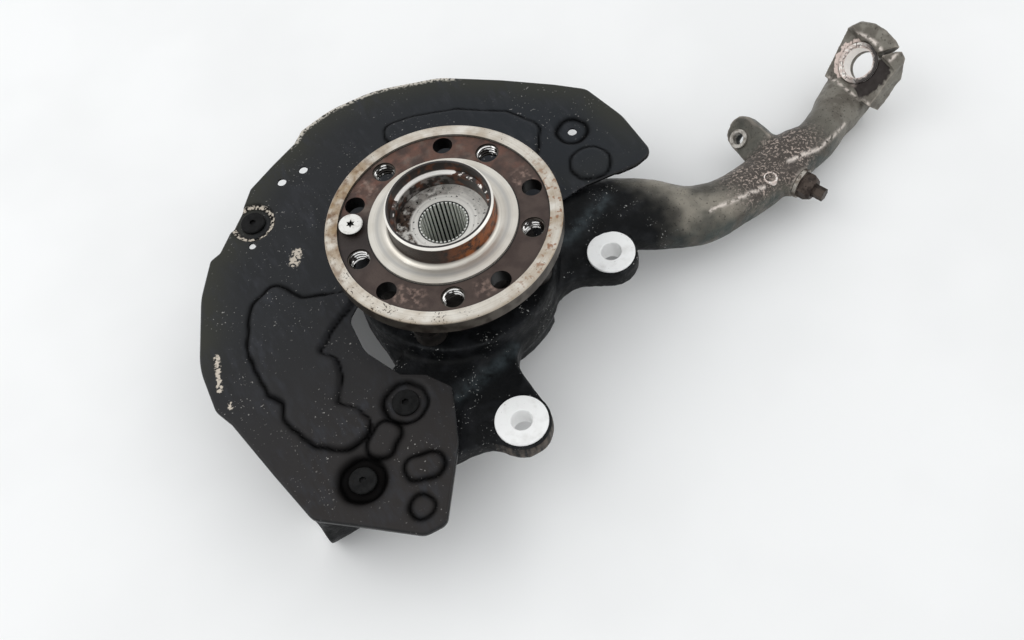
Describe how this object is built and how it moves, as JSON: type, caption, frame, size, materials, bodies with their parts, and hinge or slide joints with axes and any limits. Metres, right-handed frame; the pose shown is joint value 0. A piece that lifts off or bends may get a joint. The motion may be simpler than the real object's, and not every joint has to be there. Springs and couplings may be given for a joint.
{
  "type": "wheel hub with steering knuckle",
  "caption": "Front steering knuckle with a turning wheel hub, bolted bearing unit, sheet-metal splash shield and a long neck to a split clamp eye.",
  "frame": {"origin": "on the wheel axis, in the plane of the hub's wheel seat", "axes": "+Z along the wheel axis, out of the car; +X along the knuckle's neck to its upper eye; +Y completes the right-handed set"},
  "size_m": [0.5183, 0.3182, 0.131],
  "materials": {
    "hub_steel": "turned, with rust on the face and bright worn lands",
    "cast_aluminium": "as cast, oily near the hub, pitted and worn along the neck",
    "shield_paint": "semi-matte coating on pressed sheet, scuffed",
    "bearing_steel": "ground, stained",
    "fastener_steel": "plain steel, browned",
    "screw_zinc": "zinc plated, bright",
    "cage_polyamide": "moulded, glass-filled",
    "seal_rubber": "matte"
  },
  "bodies": {
    "knuckle": {"bearing_outer_ring": "bearing_steel", "outboard_seal": "seal_rubber", "inboard_seal": "seal_rubber", "bearing_bolt_1": "fastener_steel", "bearing_bolt_2": "fastener_steel", "bearing_bolt_3": "fastener_steel", "bearing_bolt_4": "fastener_steel", "knuckle": "cast_aluminium", "splash_shield": "shield_paint", "shield_screw_1": "fastener_steel", "shield_screw_2": "fastener_steel", "shield_screw_3": "fastener_steel", "cross_stud": "fastener_steel", "cross_washer": "fastener_steel", "cross_nut": "fastener_steel"},
    "hub": {"wheel_hub": "hub_steel", "disc_screw": "screw_zinc", "bearing_inner_ring": "bearing_steel"},
    "ball_cages": {"outboard_balls": "bearing_steel", "outboard_cage": "cage_polyamide", "inboard_balls": "bearing_steel", "inboard_cage": "cage_polyamide"}
  },
  "joints": [
    {"name": "hub_spin", "type": "hinge", "parent": "knuckle", "child": "hub", "pos_m": [0, 0, 0], "axis": [0, 0, 1], "continuous": true},
    {"name": "cage_spin", "type": "hinge", "parent": "knuckle", "child": "ball_cages", "pos_m": [0, 0, -0.04], "axis": [0, 0, 1], "continuous": true}
  ],
  "couplings": [
    {"joint": "cage_spin", "follows": "hub_spin", "ratio": 0.41}
  ]
}
